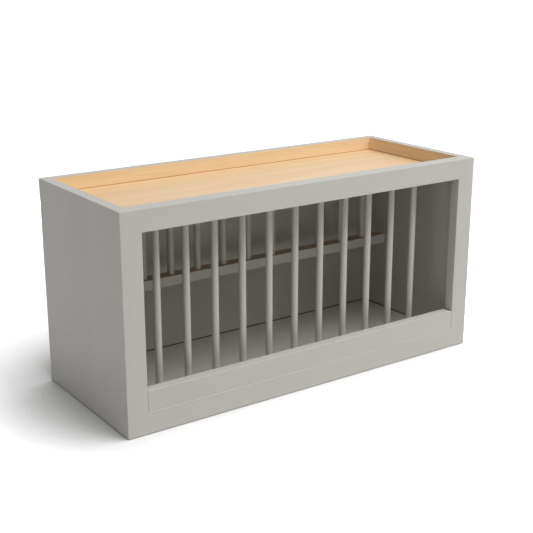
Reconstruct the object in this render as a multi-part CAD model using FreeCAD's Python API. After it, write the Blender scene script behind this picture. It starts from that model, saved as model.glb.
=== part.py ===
import FreeCAD, Part
import os

from FreeCAD import Vector

# Overall size, in millimetres
cabinet_width = 762.0
cabinet_depth = 304.8
cabinet_height = 381.0

# Carcass boards: sides, back and floor share one thickness
board_thickness = 19.05
back_lip_thickness = 6.35
groove_depth = 6.35
top_board_thickness = 12.7

# Face frame with tenoned rails, the guard rail on its bottom rail and the cleat behind its top rail
frame_thickness = 19.05
tenon_thickness = 6.35
tenon_length = 19.0
tenon_shoulder = 6.3
stile_width = 38.1
top_rail_height = 38.1
bottom_rail_height = 38.1
guard_rail_height = 38.1
guard_rail_setback = 1.0
cleat_thickness = 6.35

# Rack: two rows of dowels, the rear row standing in a cross rail
dowel_diameter = 12.7
dowels_per_row = 11
front_row_from_front = 63.5
rear_row_from_front = 215.9
rear_rail_depth = 25.4
rear_rail_height = 19.05
rear_rail_top = 190.5
rear_rail_end_gap = 3.175
floor_seat_depth = 9.525
rail_seat_depth = 9.5
top_seat_depth = 6.4

# Eased edges and the play left in holes and grooves
edge_radius = 1.0
fit_clearance = 0.1

# Levels and faces that follow from the sizes above
floor_top = board_thickness
opening_left = stile_width
opening_right = cabinet_width - stile_width
opening_bottom = bottom_rail_height
opening_top = cabinet_height - top_rail_height
guard_rail_top = opening_bottom + guard_rail_height
top_board_under = opening_top
top_board_top = top_board_under + top_board_thickness
inner_left = board_thickness
inner_right = cabinet_width - board_thickness
back_face = cabinet_depth - board_thickness
slot_pitch = (opening_right - opening_left) / (dowels_per_row + 1)
dowel_places = [opening_left + slot_pitch * (i + 1) for i in range(dowels_per_row)]


def place(x, y, z):
    """Point given from the left side, the front face and the base, in the part's frame."""
    return Vector(x - cabinet_width / 2, y - cabinet_depth / 2, z)


def block(x_span, y_span, z_span):
    """Box between three pairs of limits."""
    length = x_span[1] - x_span[0]
    width = y_span[1] - y_span[0]
    height = z_span[1] - z_span[0]
    return Part.makeBox(length, width, height, place(x_span[0], y_span[0], z_span[0]))


def eased(shape, chosen):
    """Shape with the edges that chosen picks by their middle point rounded off."""
    edges = [edge for edge in shape.Edges if chosen(edge.CenterOfMass)]
    return shape.makeFillet(edge_radius, edges)


def hole(x, y, z_span):
    """Upright hole that takes a rack dowel."""
    radius = (dowel_diameter + fit_clearance) / 2
    return Part.makeCylinder(radius, z_span[1] - z_span[0], place(x, y, z_span[0]))


def rack_dowel(x, y, z_span):
    """Upright dowel, cut square at both ends."""
    return Part.makeCylinder(dowel_diameter / 2, z_span[1] - z_span[0], place(x, y, z_span[0]))


def row_of_holes(y, z_span):
    """One hole for each dowel of a row."""
    return [hole(x, y, z_span) for x in dowel_places]


def tenons(rail_span, clearance):
    """Stub tenons on both ends of a frame rail; with a clearance, the mortises that take them."""
    half_thickness = (tenon_thickness + clearance) / 2
    run = (frame_thickness / 2 - half_thickness, frame_thickness / 2 + half_thickness)
    height = (rail_span[0] + tenon_shoulder - clearance / 2, rail_span[1] - tenon_shoulder + clearance / 2)
    left = block((opening_left - tenon_length, opening_left), run, height)
    right = block((opening_right, opening_right + tenon_length), run, height)
    return [left, right]


def save(node, shape):
    """Write one node, after making sure that it is one sound solid."""
    if not shape.isValid() or len(shape.Solids) != 1:
        raise ValueError(node + " is not one sound solid")
    shape.exportStep("parts/" + node + ".step")


def only_solid(shape):
    """The one solid that a cut or a common part leaves."""
    return shape.removeSplitter().Solids[0]


os.makedirs("parts", exist_ok=True)

# Outline of the whole cabinet with its outer edges eased; every outer piece is taken from it
whole_width = (0, cabinet_width)
whole_height = (0, cabinet_height)
outline = block(whole_width, (0, cabinet_depth), whole_height)
outline = outline.makeFillet(edge_radius, outline.Edges)

# Side panels: groove for the top board, rabbets for the back and the floor
carcass_run = (frame_thickness, cabinet_depth)
groove_height = (top_board_under, top_board_top + fit_clearance)
sides = {
    "left_side_panel": (
        (0, inner_left),
        (inner_left - groove_depth, inner_left),
        (back_lip_thickness, inner_left),
    ),
    "right_side_panel": (
        (inner_right, cabinet_width),
        (inner_right, inner_right + groove_depth),
        (inner_right, cabinet_width - back_lip_thickness),
    ),
}
for node, (panel_width, groove_width, rabbet_width) in sides.items():
    panel = outline.common(block(panel_width, carcass_run, whole_height))
    panel = panel.cut(block(groove_width, carcass_run, groove_height))
    panel = panel.cut(block(groove_width, carcass_run, (0, floor_top)))
    panel = panel.cut(block(rabbet_width, (back_face, cabinet_depth), whole_height))
    save(node, only_solid(panel))

# Back board, grooved across for the top board's rear edge
back_width = (back_lip_thickness, cabinet_width - back_lip_thickness)
back = outline.common(block(back_width, (back_face, cabinet_depth), whole_height))
back = back.cut(block(back_width, (back_face, back_face + groove_depth), groove_height))
save("back_board", only_solid(back))

# Floor board, with blind holes for the front dowels
let_in_width = (inner_left - groove_depth, inner_right + groove_depth)
floor_seat = (floor_top - floor_seat_depth, floor_top)
floor = block(let_in_width, (frame_thickness, back_face), (0, floor_top))
save("floor_board", only_solid(floor.cut(row_of_holes(front_row_from_front, floor_seat))))

# Top board, held in grooves on three sides, with blind holes for both rows underneath
top_seat = (top_board_under, top_board_under + top_seat_depth)
top = block(let_in_width, (frame_thickness, back_face + groove_depth), (top_board_under, top_board_top))
top = top.cut(row_of_holes(front_row_from_front, top_seat) + row_of_holes(rear_row_from_front, top_seat))
save("top_board", only_solid(top))

# Face frame: eased round its opening as one, then parted into stiles and rails
frame_run = (0, frame_thickness)
opening_width = (opening_left, opening_right)
frame = outline.common(block(whole_width, frame_run, whole_height))
frame = frame.cut(block(opening_width, frame_run, (opening_bottom, opening_top)))
front_level = place(0, 0, 0).y
frame = eased(
    only_solid(frame),
    lambda middle: abs(middle.y - front_level) < fit_clearance
    and abs(middle.x) < cabinet_width / 2 - stile_width / 2
    and bottom_rail_height / 2 < middle.z < cabinet_height - top_rail_height / 2,
)
rail_spans = {
    "bottom_rail": (0, opening_bottom),
    "guard_rail": (opening_bottom, guard_rail_top),
    "top_rail": (opening_top, cabinet_height),
}
mortises = [mortise for span in rail_spans.values() for mortise in tenons(span, fit_clearance)]
for node, stile_span in (("left_stile", (0, opening_left)), ("right_stile", (opening_right, cabinet_width))):
    stile = frame.common(block(stile_span, frame_run, whole_height))
    save(node, only_solid(stile.cut(mortises)))
for node in ("bottom_rail", "top_rail"):
    rail = frame.common(block(opening_width, frame_run, rail_spans[node]))
    save(node, only_solid(rail.fuse(tenons(rail_spans[node], 0))))

# Guard rail on the bottom rail, its two upper long edges eased
guard = block(opening_width, (guard_rail_setback, frame_thickness), rail_spans["guard_rail"])
guard = eased(guard, lambda middle: middle.z > guard_rail_top - fit_clearance and abs(middle.x) < slot_pitch)
save("guard_rail", only_solid(guard.fuse(tenons(rail_spans["guard_rail"], 0))))

# Cleat on the top board, behind the top rail
cleat_run = (frame_thickness, frame_thickness + cleat_thickness)
save("top_rail_cleat", block((inner_left, inner_right), cleat_run, (top_board_top, cabinet_height)))

# Rear cross rail, short enough to go in through the opening, with blind holes in its top
rail_front = rear_row_from_front - rear_rail_depth / 2
rail_run = (rail_front, rail_front + rear_rail_depth)
rail_width = (opening_left + rear_rail_end_gap, opening_right - rear_rail_end_gap)
rail = block(rail_width, rail_run, (rear_rail_top - rear_rail_height, rear_rail_top))
rail_front_level = place(0, rail_front, 0).y
rail = eased(rail, lambda middle: middle.y < rail_front_level + fit_clearance and abs(middle.x) < slot_pitch)
rail_seat = (rear_rail_top - rail_seat_depth, rear_rail_top)
save("rear_cross_rail", only_solid(rail.cut(row_of_holes(rear_row_from_front, rail_seat))))

# Dowels of both rows, each seated on the floor of its two holes
rows = {
    "front_dowel": (front_row_from_front, (floor_seat[0], top_seat[1])),
    "rear_dowel": (rear_row_from_front, (rail_seat[0], top_seat[1])),
}
for row, (row_from_front, dowel_reach) in rows.items():
    for number, x in enumerate(dowel_places, start=1):
        save(f"{row}_{number:02d}", rack_dowel(x, row_from_front, dowel_reach))
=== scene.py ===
import logging
import math
from abc import ABC, abstractmethod
from dataclasses import dataclass, replace
from enum import Enum
from typing import Any

import bmesh
import bpy
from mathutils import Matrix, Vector


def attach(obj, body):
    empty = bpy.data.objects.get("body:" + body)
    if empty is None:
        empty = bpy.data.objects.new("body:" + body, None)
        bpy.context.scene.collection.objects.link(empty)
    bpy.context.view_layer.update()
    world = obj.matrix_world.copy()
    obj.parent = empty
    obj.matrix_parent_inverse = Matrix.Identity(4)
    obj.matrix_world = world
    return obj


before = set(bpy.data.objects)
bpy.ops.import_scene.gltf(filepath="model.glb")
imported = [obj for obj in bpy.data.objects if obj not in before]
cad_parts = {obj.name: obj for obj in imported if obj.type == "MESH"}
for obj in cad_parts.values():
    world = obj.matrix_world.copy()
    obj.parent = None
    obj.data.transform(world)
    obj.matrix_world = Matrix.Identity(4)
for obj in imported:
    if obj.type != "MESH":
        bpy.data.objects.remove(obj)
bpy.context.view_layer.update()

# Metres in a millimetre
MM = 0.001
# How far a zone reaches past the face that it ends on, in millimetres
SLACK = 0.1
# Points of a mesh that lie nearer than this become one, in millimetres
MERGE_REACH = 0.01
# Range that holds nearly all values of a noise texture
NOISE_RANGE = {"From Min": 0.3, "From Max": 0.7}

BODY = "root"
log = logging.getLogger("plate_rack")
Colour = tuple[float, float, float, float]
Socket = bpy.types.NodeSocket


class Axis(Enum):
    """Axis of the part's frame, also the way that a board's fibres run."""

    X = 0
    Y = 1
    Z = 2


class Side(Enum):
    """Side of a level on which a zone lies."""

    ABOVE = "GREATER_THAN"
    BELOW = "LESS_THAN"


Limit = tuple[Axis, Side, float]


def linear(code: str) -> Colour:
    """Turn an sRGB hex colour into a linear one, by the curve of the sRGB standard.

    Args:
        code: colour such as "#bab7b0".

    Returns:
        Red, green, blue and a full alpha, as shaders take them.
    """
    channels = [int(code[i:i + 2], 16) / 255 for i in (1, 3, 5)]
    red, green, blue = [
        c / 12.92 if c <= 0.04045 else ((c + 0.055) / 1.055) ** 2.4 for c in channels]
    return red, green, blue, 1.0


def add(tree: bpy.types.NodeTree, kind: str, inputs: dict[Any, Any] | None = None,
        **settings: Any) -> bpy.types.Node:
    """Add a node to a tree, with its settings, values and links.

    Args:
        tree: tree that gets the node.
        kind: identifier of the node's type.
        inputs: socket name or number to its value, or to the output that feeds it.
        settings: the node's own options.

    Returns:
        The new node.
    """
    node = tree.nodes.new(kind)
    for name, value in settings.items():
        setattr(node, name, value)
    for key, value in (inputs or {}).items():
        if isinstance(value, Socket):
            tree.links.new(value, node.inputs[key])
        else:
            node.inputs[key].default_value = value
    return node


@dataclass(frozen=True)
class Coat:
    """Look of one kind of surface: a colour drawn out along the grain, a gloss and a relief.

    Sizes are in millimetres. Streaks are the board's fibres, figure is the broad change of tone
    across it, and peel is the fine dimpling of a sprayed film or the open pores of bare wood.
    """

    light: str
    dark: str
    streak_contrast: float
    figure_contrast: float
    roughness: float
    roughness_spread: float
    relief: float
    # Real fibres are about 0.3 mm wide, and dimples and pores under 1 mm. That is too fine to show
    # in the render, so streaks and peel are drawn coarser.
    streak_width: float = 2.4
    streak_length: float = 90.0
    figure_width: float = 34.0
    figure_length: float = 420.0
    peel_size: float = 2.2
    grain: Axis = Axis.X

    def along(self, grain: Axis) -> "Coat":
        """The same coat on a board whose fibres run along an axis."""
        return replace(self, grain=grain)

    def stretched(self, width: float, length: float) -> tuple[float, float, float]:
        """Scale that makes a unit pattern this wide across the grain and this long along it.

        Args:
            width: size across the grain, in millimetres.
            length: size along the grain, in millimetres.

        Returns:
            Factors for the three axes.
        """
        factors = [1 / (width * MM)] * 3
        factors[self.grain.value] = 1 / (length * MM)
        return tuple(factors)

    def sockets(self, tree: bpy.types.NodeTree, place: Socket) -> tuple[Socket, Socket, Socket]:
        """Build the coat's nodes.

        Args:
            tree: the material's tree.
            place: Object coordinates.

        Returns:
            Colour, roughness and height outputs.
        """
        long_fibres = add(tree, "ShaderNodeMapping", {
            "Vector": place, "Scale": self.stretched(self.streak_width, self.streak_length)})
        broad = add(tree, "ShaderNodeMapping", {
            "Vector": place, "Scale": self.stretched(self.figure_width, self.figure_length)})
        streaks = add(tree, "ShaderNodeTexNoise", {
            "Vector": long_fibres.outputs[0], "Scale": 1.0, "Detail": 4.0, "Roughness": 0.6,
            "Distortion": 0.3})
        figure = add(tree, "ShaderNodeTexNoise", {
            "Vector": broad.outputs[0], "Scale": 1.0, "Detail": 2.0, "Roughness": 0.5,
            "Distortion": 0.6})
        peel = add(tree, "ShaderNodeTexNoise", {
            "Vector": place, "Scale": 1 / (self.peel_size * MM), "Detail": 1.0, "Roughness": 0.4})
        fibre_share = add(tree, "ShaderNodeMapRange", {
            "Value": streaks.outputs[0], **NOISE_RANGE,
            "To Min": 0.0, "To Max": self.streak_contrast})
        figure_share = add(tree, "ShaderNodeMapRange", {
            "Value": figure.outputs[0], **NOISE_RANGE,
            "To Min": 0.0, "To Max": self.figure_contrast})
        share = add(tree, "ShaderNodeMath", {
            0: fibre_share.outputs[0], 1: figure_share.outputs[0]}, operation="ADD", use_clamp=True)
        colour = add(tree, "ShaderNodeMix", {
            "Factor": share.outputs[0], "A": linear(self.light), "B": linear(self.dark)},
            data_type="RGBA")
        gloss = add(tree, "ShaderNodeMapRange", {
            "Value": figure.outputs[0], **NOISE_RANGE,
            "To Min": self.roughness - self.roughness_spread,
            "To Max": self.roughness + self.roughness_spread})
        height = add(tree, "ShaderNodeMath", {
            0: streaks.outputs[0], 1: peel.outputs[0]}, operation="ADD")
        scaled = add(tree, "ShaderNodeMath", {
            0: height.outputs[0], 1: self.relief}, operation="MULTIPLY")
        return colour.outputs["Result"], gloss.outputs[0], scaled.outputs[0]


# Satin lacquer sprayed on close-grained hardwood: an even warm grey with a trace of the fibres
GREY_LACQUER = Coat(
    light="#bcb9b3", dark="#b4b1aa", streak_contrast=0.3, figure_contrast=0.1,
    roughness=0.46, roughness_spread=0.03, relief=0.012)

# Rotary-cut birch veneer under a clear coat: pale honey, fine long fibres and a broad soft figure
CLEAR_BIRCH = Coat(
    light="#e9c99f", dark="#cda473", streak_contrast=0.16, figure_contrast=0.25,
    roughness=0.42, roughness_spread=0.06, relief=0.03, streak_width=1.6, streak_length=70.0,
    figure_width=26.0, figure_length=300.0, peel_size=1.4)

# Straight-grained birch lipping round the top: the same wood cut along the fibres, a shade warmer
BIRCH_LIPPING = Coat(
    light="#f3d9b2", dark="#d5ad78", streak_contrast=0.42, figure_contrast=0.15,
    roughness=0.42, roughness_spread=0.06, relief=0.03, streak_width=1.5, streak_length=110.0,
    figure_width=12.0, figure_length=300.0, peel_size=1.4)

# Sawn birch edge with no coat: browner than the coated birch, as bare edge grain is, and drawn
# darker as painted shade
SHADED_RAW_BIRCH = Coat(
    light="#b39c86", dark="#897464", streak_contrast=0.45, figure_contrast=0.25,
    roughness=0.7, roughness_spread=0.06, relief=0.05, streak_width=1.8, streak_length=60.0)


@dataclass(frozen=True)
class Zone:
    """Part of a board on one side of each of some levels, in millimetres."""

    limits: tuple[Limit, ...]

    def share(self, tree: bpy.types.NodeTree, axes: bpy.types.Node) -> Socket:
        """Build the zone's mask.

        Args:
            tree: the material's tree.
            axes: node that gives the three coordinates apart.

        Returns:
            Output that is 1 in the zone and 0 elsewhere.
        """
        mask = None
        for axis, side, level in self.limits:
            test = add(tree, "ShaderNodeMath", {
                0: axes.outputs[axis.value], 1: level * MM}, operation=side.value)
            if mask is not None:
                test = add(tree, "ShaderNodeMath", {
                    0: mask, 1: test.outputs[0]}, operation="MULTIPLY")
            mask = test.outputs[0]
        return mask


@dataclass(frozen=True)
class ShadeLine:
    """Painted line of shade on a board along a plane, on the whole board or in one zone of it.

    The level of the plane is in millimetres, and so is the line's reach to each side of it.
    """

    axis: Axis
    level: float
    reach: float
    colour: str
    zone: Zone | None = None

    def darken(self, tree: bpy.types.NodeTree, axes: bpy.types.Node, colour: Socket) -> Socket:
        """Draw the painted shade line over a colour.

        Args:
            tree: the material's tree.
            axes: node that gives the three coordinates apart.
            colour: colour of the board so far.

        Returns:
            The colour with the line.
        """
        near = add(tree, "ShaderNodeMath", {
            0: axes.outputs[self.axis.value], 1: self.level * MM, 2: self.reach * MM},
            operation="COMPARE")
        if self.zone:
            near = add(tree, "ShaderNodeMath", {
                0: near.outputs[0], 1: self.zone.share(tree, axes)}, operation="MULTIPLY")
        line = add(tree, "ShaderNodeMix", {
            "Factor": near.outputs[0], "A": colour, "B": linear(self.colour)}, data_type="RGBA")
        return line.outputs["Result"]


@dataclass(frozen=True)
class BoardFinish:
    """Finish of a board: its coat, a zone that is left in another coat, and its painted shade lines.
    """

    name: str
    coat: Coat
    other_coat: Coat | None = None
    other_zone: Zone | None = None
    shade_lines: tuple[ShadeLine, ...] = ()
    ior: float = 1.5

    def material(self) -> bpy.types.Material:
        """Build the material, or fetch it if it is there already.

        Returns:
            The material of the finish's name.
        """
        known = bpy.data.materials.get(self.name)
        if known:
            return known
        made = bpy.data.materials.new(self.name)
        made.use_nodes = True
        tree = made.node_tree
        tree.nodes.clear()
        place = add(tree, "ShaderNodeTexCoord").outputs["Object"]
        axes = add(tree, "ShaderNodeSeparateXYZ", {0: place})
        colour, gloss, height = self.coat.sockets(tree, place)
        if self.other_coat and self.other_zone:
            mask = self.other_zone.share(tree, axes)
            other_colour, other_gloss, other_height = self.other_coat.sockets(tree, place)
            colour = add(tree, "ShaderNodeMix", {
                "Factor": mask, "A": colour, "B": other_colour}, data_type="RGBA").outputs["Result"]
            gloss = add(tree, "ShaderNodeMix", {
                "Factor": mask, "A": gloss, "B": other_gloss}).outputs["Result"]
            height = add(tree, "ShaderNodeMix", {
                "Factor": mask, "A": height, "B": other_height}).outputs["Result"]
        # Painted shade lines go over the coat
        for shade_line in self.shade_lines:
            colour = shade_line.darken(tree, axes, colour)
        # Heights are in millimetres
        bump = add(tree, "ShaderNodeBump", {"Height": height, "Strength": 1.0, "Distance": MM})
        shader = add(tree, "ShaderNodeBsdfPrincipled", {
            "Base Color": colour, "Roughness": gloss, "Normal": bump.outputs[0], "IOR": self.ior})
        add(tree, "ShaderNodeOutputMaterial", {"Surface": shader.outputs[0]})
        return made


class Assembly(ABC):
    """Sub-assembly of the cabinet, whose CAD nodes each get a finish."""

    @abstractmethod
    def finishes(self) -> dict[str, BoardFinish]:
        """Finish of each piece, by its CAD node."""

    def dress(self) -> None:
        """Give each piece its finish."""
        for node, finish in self.finishes().items():
            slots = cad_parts[node].data.materials
            slots.clear()
            slots.append(finish.material())
            log.info("%s dressed in %s", node, finish.name)


@dataclass
class Carcass(Assembly):
    """Boards of the box: sides, floor, back and the let-in top, with the cleat at its front."""

    half_width: float = 381.0
    half_depth: float = 152.4
    board: float = 19.05
    frame_thickness: float = 19.05
    cleat_thickness: float = 6.35
    floor_level: float = 19.05
    top_level: float = 355.6
    # Reaches, in millimetres, and colours of the painted shade lines in the corners where the boards
    # meet
    floor_shade_reach: float = 2.2
    wall_shade_reach: float = 1.2
    top_shade_reach: float = 0.9
    strip_shade_reach: float = 1.0
    painted_joint_shade: str = "#2f2d29"
    painted_wood_corner_shade: str = "#b07c45"

    def wall(self, name: str, fibres: Axis, strip_fibres: Axis, inner: Limit) -> BoardFinish:
        """Finish of a board that is lacquered, but bare on its strip of rim round the let-in top.

        Args:
            name: name of the material.
            fibres: way that the board's fibres run.
            strip_fibres: way that the fibres of the bare strip run.
            inner: limit past which only the board's inner face lies.

        Returns:
            The finish, with painted shade lines along the floor and the top.
        """
        strip = Zone((inner, (Axis.Z, Side.ABOVE, self.top_level - SLACK)))
        face = Zone((inner,))
        # Painted shade lines along the foot of the inner face and along the foot of the bare strip
        corner_shades = (ShadeLine(Axis.Z, self.floor_level, self.wall_shade_reach, self.painted_joint_shade, face),
                  ShadeLine(Axis.Z, self.top_level, self.strip_shade_reach, self.painted_wood_corner_shade, strip))
        return BoardFinish(
            name, GREY_LACQUER.along(fibres), BIRCH_LIPPING.along(strip_fibres), strip, corner_shades)

    def finishes(self) -> dict[str, BoardFinish]:
        """Work out the finish of each board.

        Returns:
            Finish of each board, by its CAD node.
        """
        inner = self.half_width - self.board
        inner_back = self.half_depth - self.board
        cleat_back = self.frame_thickness + self.cleat_thickness - self.half_depth
        edges = ((Axis.Y, inner_back), (Axis.X, inner), (Axis.X, -inner))
        # Painted shadow lines on the floor along its back and side edges, in the corners with the
        # walls
        floor_shade_lines = tuple(
            ShadeLine(axis, level, self.floor_shade_reach, self.painted_joint_shade) for axis, level in edges)
        # Painted shade lines on the top board along its edges, in the corners of the recess
        top_shade_lines = tuple(
            ShadeLine(axis, level, self.top_shade_reach, self.painted_wood_corner_shade) for axis, level in edges)
        bare_back = Zone(((Axis.Y, Side.ABOVE, cleat_back - SLACK),))
        underside = Zone(((Axis.Z, Side.BELOW, self.top_level - SLACK),))
        lacquer = GREY_LACQUER.along(Axis.X)
        return {
            "left_side_panel": self.wall(
                "grey_lacquer_left_side", Axis.Z, Axis.Y, (Axis.X, Side.ABOVE, -inner - SLACK)),
            "right_side_panel": self.wall(
                "grey_lacquer_right_side", Axis.Z, Axis.Y, (Axis.X, Side.BELOW, inner + SLACK)),
            "back_board": self.wall(
                "grey_lacquer_back", Axis.X, Axis.X, (Axis.Y, Side.BELOW, inner_back + SLACK)),
            "top_rail_cleat": BoardFinish(
                "grey_lacquer_cleat", lacquer, BIRCH_LIPPING.along(Axis.X), bare_back),
            "floor_board": BoardFinish("grey_lacquer_floor", lacquer, shade_lines=floor_shade_lines),
            "top_board": BoardFinish(
                "clear_birch_top", CLEAR_BIRCH.along(Axis.X), lacquer, underside, top_shade_lines),
        }


@dataclass
class FaceFrame(Assembly):
    """Stiles and rails of the front, with the guard rail."""

    half_opening: float = 342.9
    guard_top: float = 76.2
    bottom_rail_top: float = 38.1
    # Reaches, in millimetres, and colours of painted shade lines: down the guard rail's left end, on
    # its top at the right end, and along the bottom rail's eased edge
    end_shade_reach: float = 1.2
    painted_joint_shade: str = "#8b8882"
    upper_shade_reach: float = 3.8
    painted_upper_shade: str = "#2f2d29"
    edge_shade_reach: float = 1.2
    painted_edge_shade: str = "#b1aea8"

    def finishes(self) -> dict[str, BoardFinish]:
        """Work out the finish of each frame piece.

        Returns:
            Finish of each frame piece, by its CAD node.
        """
        lacquer = GREY_LACQUER.along(Axis.X)
        upright = BoardFinish("grey_lacquer_stile", GREY_LACQUER.along(Axis.Z))
        level = BoardFinish("grey_lacquer_rail", lacquer)
        # Painted shade at the guard rail's ends: a grey line down the left end, and a dark line on
        # its top at the right end, in the corner with the stile
        upper_face = Zone(((Axis.Z, Side.ABOVE, self.guard_top - SLACK),))
        end_shades = (ShadeLine(Axis.X, -self.half_opening, self.end_shade_reach, self.painted_joint_shade),
                ShadeLine(Axis.X, self.half_opening, self.upper_shade_reach, self.painted_upper_shade, upper_face))
        guard = BoardFinish("grey_lacquer_guard_rail", lacquer, shade_lines=end_shades)
        # Painted shade: the bottom rail's eased edge, under the guard rail, is drawn a little darker
        # than the lacquer, so that it catches less light
        shaded_eased_edge = ShadeLine(Axis.Z, self.bottom_rail_top, self.edge_shade_reach, self.painted_edge_shade)
        bottom = BoardFinish("grey_lacquer_bottom_rail", lacquer, shade_lines=(shaded_eased_edge,))
        return {"left_stile": upright, "right_stile": upright, "top_rail": level,
                "bottom_rail": bottom, "guard_rail": guard}


@dataclass
class Rack(Assembly):
    """Two rows of dowels, the rear row's cross rail and the lacquer beads round the dowels' ends."""

    dowels: int = 11
    pitch: float = 57.15
    dowel_radius: float = 6.35
    front_row: float = -88.9
    rear_row: float = 63.5
    floor_top: float = 19.05
    top_under: float = 342.9
    rail_top: float = 190.5
    bare_drop: float = 0.3
    bead_reach: float = 1.3
    bead_rise: float = 1.8
    bead_hollow: float = 0.3
    bead_sides: int = 32
    dowel_slot: str = "dowel_paint"

    def finishes(self) -> dict[str, BoardFinish]:
        """Work out the finish of each rack piece.

        Returns:
            Finish of each rack piece, by its CAD node.
        """
        turned = self.turned()
        names = [f"{row}_dowel_{number:02d}"
                 for row in ("front", "rear") for number in range(1, self.dowels + 1)]
        # The rail's top is bare, down to a little way round its eased front edge
        bare_top = Zone(((Axis.Z, Side.ABOVE, self.rail_top - self.bare_drop),))
        # Its bare top takes the darker raw birch, whose darkness is painted shade
        rail = BoardFinish("grey_lacquer_cross_rail", GREY_LACQUER.along(Axis.X),
                           SHADED_RAW_BIRCH.along(Axis.X), bare_top)
        return {**dict.fromkeys(names, turned), "rear_cross_rail": rail}

    def turned(self) -> BoardFinish:
        """Finish of the dowels and of the lacquer round their ends."""
        return BoardFinish("grey_lacquer_dowel", GREY_LACQUER.along(Axis.Z))

    def bead_tree(self) -> bpy.types.NodeTree:
        """Build the nodes that set a hollow-faced bead round each dowel's end on a lacquered board.

        Returns:
            Geometry tree with an input for each size, which takes metres.
        """
        tree = bpy.data.node_groups.new("lacquer_beads", "GeometryNodeTree")
        lengths = dict.fromkeys(("Pitch", "Radius", "Reach", "Rise"), "NodeSocketFloat")
        for name, kind in {"Dowels": "NodeSocketInt", **lengths}.items():
            tree.interface.new_socket(name, in_out="INPUT", socket_type=kind)
        tree.interface.new_socket("Beads", in_out="OUTPUT", socket_type="NodeSocketGeometry")
        given = add(tree, "NodeGroupInput").outputs
        # The profile's second axis points down, so what rises along the dowel is negative
        hollow_out = add(tree, "ShaderNodeMath", {
            0: given["Reach"], 1: self.bead_hollow}, operation="MULTIPLY")
        hollow_up = add(tree, "ShaderNodeMath", {
            0: given["Rise"], 1: -self.bead_hollow}, operation="MULTIPLY")
        crest = add(tree, "ShaderNodeMath", {0: given["Rise"], 1: -1.0}, operation="MULTIPLY")
        foot = add(tree, "ShaderNodeCombineXYZ", {0: given["Reach"]})
        middle = add(tree, "ShaderNodeCombineXYZ", {
            0: hollow_out.outputs[0], 1: hollow_up.outputs[0]})
        tip = add(tree, "ShaderNodeCombineXYZ", {1: crest.outputs[0]})
        profile = add(tree, "GeometryNodeCurvePrimitiveQuadrilateral", {
            "Point 1": (0.0, 0.0, 0.0), "Point 2": foot.outputs[0],
            "Point 3": middle.outputs[0], "Point 4": tip.outputs[0]}, mode="POINTS")
        ring = add(tree, "GeometryNodeCurvePrimitiveCircle", {
            "Resolution": self.bead_sides, "Radius": given["Radius"]})
        bead = add(tree, "GeometryNodeCurveToMesh", {
            "Curve": ring.outputs["Curve"], "Profile Curve": profile.outputs["Curve"]})
        # A row is centred, so its first dowel stands half the row's length to the left
        spaces = add(tree, "ShaderNodeMath", {0: given["Dowels"], 1: 1.0}, operation="SUBTRACT")
        length = add(tree, "ShaderNodeMath", {
            0: spaces.outputs[0], 1: given["Pitch"]}, operation="MULTIPLY")
        first = add(tree, "ShaderNodeMath", {0: length.outputs[0], 1: -0.5}, operation="MULTIPLY")
        step = add(tree, "ShaderNodeCombineXYZ", {0: given["Pitch"]})
        upright, hanging = 0.0, math.pi
        rows = ((self.front_row, self.floor_top, upright),
                (self.front_row, self.top_under, hanging),
                (self.rear_row, self.top_under, hanging))
        together = add(tree, "GeometryNodeJoinGeometry")
        for depth, level, turn in rows:
            start = add(tree, "ShaderNodeCombineXYZ", {
                0: first.outputs[0], 1: depth * MM, 2: level * MM})
            row = add(tree, "GeometryNodeMeshLine", {
                "Count": given["Dowels"], "Start Location": start.outputs[0],
                "Offset": step.outputs[0]})
            beads = add(tree, "GeometryNodeInstanceOnPoints", {
                "Points": row.outputs[0], "Instance": bead.outputs[0],
                "Rotation": (turn, 0.0, 0.0)})
            tree.links.new(beads.outputs[0], together.inputs[0])
        solid = add(tree, "GeometryNodeRealizeInstances", {0: together.outputs[0]})
        coated = add(tree, "GeometryNodeSetMaterial", {
            0: solid.outputs[0], "Material": self.turned().material()})
        add(tree, "NodeGroupOutput", {0: coated.outputs[0]})
        return tree

    def beads(self) -> None:
        """Make the lacquer beads, as one plain mesh that rides with the cabinet."""
        tree = self.bead_tree()
        sizes = {"Dowels": self.dowels, "Pitch": self.pitch * MM,
                 "Radius": self.dowel_radius * MM,
                 "Reach": self.bead_reach * MM, "Rise": self.bead_rise * MM}
        rough = bpy.data.objects.new("bead_rows", bpy.data.meshes.new("bead_rows"))
        bpy.context.scene.collection.objects.link(rough)
        rule = rough.modifiers.new("beads", "NODES")
        rule.node_group = tree
        for item in tree.interface.items_tree:
            if item.in_out == "INPUT":
                rule[item.identifier] = sizes[item.name]
        made = rough.evaluated_get(bpy.context.evaluated_depsgraph_get())
        mesh = bpy.data.meshes.new_from_object(made)
        bpy.data.objects.remove(rough)
        merged = bmesh.new()
        merged.from_mesh(mesh)
        bmesh.ops.remove_doubles(merged, verts=merged.verts, dist=MERGE_REACH * MM)
        bmesh.ops.recalc_face_normals(merged, faces=merged.faces)
        merged.to_mesh(mesh)
        merged.free()
        mesh.materials.clear()
        mesh.materials.append(self.turned().material())
        piece = bpy.data.objects.new("lacquer_beads", mesh)
        bpy.context.scene.collection.objects.link(piece)
        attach(piece, BODY)
        log.info("lacquer_beads made, %d faces", len(mesh.polygons))


class Throw(Enum):
    """How a studio lamp throws its light."""

    FAR = "SUN"
    NEAR = "AREA"


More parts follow.
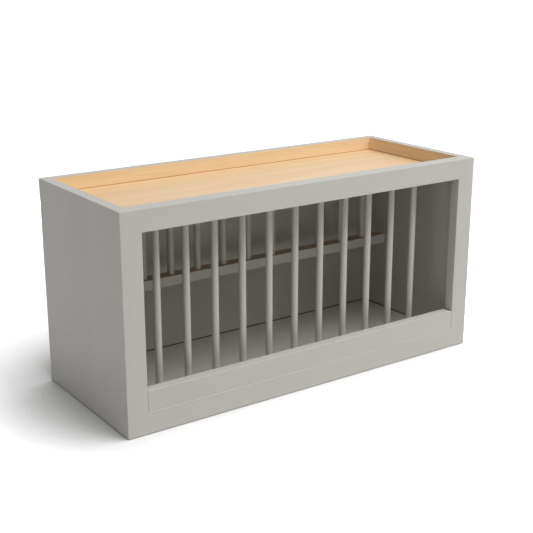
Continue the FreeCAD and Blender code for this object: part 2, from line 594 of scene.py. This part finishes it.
@dataclass(frozen=True)
class Lamp:
    """Soft studio lamp, given by the way it stands from the object.

    The turn is counted from the front, to the right, and the height is the angle above the floor,
    both in degrees. A far lamp's level is in watts per square metre and its size is the angle that
    it fills. A near lamp's level is in watts and its size is its width in metres. Distances are in
    metres too.
    """

    name: str
    throw: Throw
    turn: float
    height: float
    level: float
    size: float
    distance: float = 3.0
    aim_level: float = 0.15

    def hang(self) -> None:
        """Hang the lamp and point it at the object."""
        turn, height = math.radians(self.turn), math.radians(self.height)
        flat = math.cos(height)
        way = Vector((math.sin(turn) * flat, -math.cos(turn) * flat, math.sin(height)))
        light = bpy.data.lights.new(self.name, self.throw.value)
        light.energy = self.level
        if self.throw is Throw.FAR:
            light.angle = math.radians(self.size)
        else:
            light.shape = "DISK"
            light.size = self.size
        lamp = bpy.data.objects.new(self.name, light)
        lamp.location = way * self.distance + Vector((0.0, 0.0, self.aim_level))
        lamp.rotation_euler = (-way).to_track_quat("-Z", "Y").to_euler()
        bpy.context.scene.collection.objects.link(lamp)
        log.info("lamp %s hung", self.name)


@dataclass
class Studio:
    """Pale floor, soft light and the camera of the photograph's view.

    The camera's place, its sight and the floor's reach are in metres. The camera's turn is in
    degrees, and the other lengths are in millimetres. The floor's gain is how much brighter the
    floor is where it is seen than where it only throws light back.
    """

    camera_place: tuple[float, float, float] = (-1.07266, -1.52906, 0.76086)
    camera_turn: tuple[float, float, float] = (73.016, 0.0, -35.041)
    camera_sight: float = 200.0
    lens: float = 69.76
    sensor: float = 36.0
    sky_colour: str = "#ffffff"
    floor_reach: float = 30.0
    floor_level: float = -1.0
    floor_colour: str = "#d9d9d9"
    floor_gain: float = 2.1
    shade_reach: float = 180.0
    shade_way: tuple[float, float, float] = (1.0, 0.3, 0.6)
    shade_samples: int = 4
    lamps: tuple[Lamp, ...] = (
        Lamp("top", Throw.FAR, turn=0.0, height=65.0, level=2.07, size=40.0),
        Lamp("key", Throw.FAR, turn=45.0, height=50.0, level=0.6, size=40.0),
        Lamp("fill", Throw.FAR, turn=-80.0, height=15.0, level=0.28, size=40.0),
        Lamp("side", Throw.NEAR, turn=45.0, height=36.7, level=3.8, size=0.8, distance=1.588),
        Lamp("front", Throw.NEAR, turn=0.0, height=32.0, level=1.6, size=0.8, distance=1.415),
        Lamp("rim", Throw.NEAR, turn=131.6, height=41.1, level=1.2, size=0.8, distance=1.598),
        Lamp("back", Throw.NEAR, turn=180.0, height=2.0, level=3.0, size=0.3, distance=1.6),
    )

    def build(self) -> None:
        """Set up floor, sky, lamps, camera and colour handling."""
        self.floor()
        self.sky()
        for lamp in self.lamps:
            lamp.hang()
        self.camera()
        bpy.context.scene.view_settings.view_transform = "Standard"

    def seen(self, tree: bpy.types.NodeTree) -> Socket:
        """Share of rays that show the background: straight, mirrored or through glass.

        Args:
            tree: tree of the floor's material or of the sky.

        Returns:
            Output that is 1 for those rays.
        """
        path = add(tree, "ShaderNodeLightPath").outputs
        outside = add(tree, "ShaderNodeMath", {
            0: path["Is Camera Ray"], 1: path["Is Glossy Ray"]}, operation="MAXIMUM")
        every = add(tree, "ShaderNodeMath", {
            0: outside.outputs[0], 1: path["Is Transmission Ray"]}, operation="MAXIMUM")
        return every.outputs[0]

    def floor(self) -> None:
        """Lay a pale floor, seen as white, that keeps the shadow, deepest close to the object."""
        reach, level = self.floor_reach, self.floor_level * MM
        mesh = bpy.data.meshes.new("studio_floor")
        corners = [(-reach, -reach, level), (reach, -reach, level),
                   (reach, reach, level), (-reach, reach, level)]
        mesh.from_pydata(corners, [], [(0, 1, 2, 3)])
        floor = bpy.data.objects.new("studio_floor", mesh)
        bpy.context.scene.collection.objects.link(floor)
        # Matt white studio paper: flat and even, with no gloss of its own
        paper = bpy.data.materials.new("studio_paper")
        paper.use_nodes = True
        tree = paper.node_tree
        tree.nodes.clear()
        # The floor looks up to the right to find how open it is, so the shade gathers on the left
        way = add(tree, "ShaderNodeCombineXYZ", dict(enumerate(self.shade_way)))
        open_share = add(tree, "ShaderNodeAmbientOcclusion", {
            "Normal": way.outputs[0], "Distance": self.shade_reach * MM},
            samples=self.shade_samples)
        gain = add(tree, "ShaderNodeMath", {
            0: open_share.outputs["AO"], 1: self.floor_gain}, operation="MULTIPLY")
        tone = add(tree, "ShaderNodeMix", {
            "Factor": self.seen(tree), "A": 1.0, "B": gain.outputs[0]})
        colour = add(tree, "ShaderNodeVectorMath", {
            0: linear(self.floor_colour)[:3], "Scale": tone.outputs["Result"]}, operation="SCALE")
        matt = add(tree, "ShaderNodeBsdfDiffuse", {"Color": colour.outputs[0]})
        add(tree, "ShaderNodeOutputMaterial", {"Surface": matt.outputs[0]})
        mesh.materials.append(paper)
        log.info("floor laid")

    def sky(self) -> None:
        """Surround the floor with white that lights no matt surface."""
        world = bpy.data.worlds.new("studio_sky")
        world.use_nodes = True
        tree = world.node_tree
        tree.nodes.clear()
        glow = add(tree, "ShaderNodeBackground", {
            "Color": linear(self.sky_colour), "Strength": self.seen(tree)})
        add(tree, "ShaderNodeOutputWorld", {"Surface": glow.outputs[0]})
        bpy.context.scene.world = world

    def camera(self) -> None:
        """Stand the camera where the photograph was taken from."""
        lens = bpy.data.cameras.new("camera")
        lens.lens = self.lens
        lens.sensor_width = self.sensor
        lens.clip_end = self.camera_sight
        camera = bpy.data.objects.new("camera", lens)
        camera.location = self.camera_place
        camera.rotation_euler = [math.radians(angle) for angle in self.camera_turn]
        bpy.context.scene.collection.objects.link(camera)
        bpy.context.scene.camera = camera


def main() -> None:
    """Dress the cabinet piece by piece, then light and frame it."""
    logging.basicConfig(level=logging.INFO, format="%(name)s: %(message)s")
    rack = Rack()
    for assembly in (Carcass(), FaceFrame(), rack):
        assembly.dress()
    rack.beads()
    Studio().build()


if __name__ == "__main__":
    main()
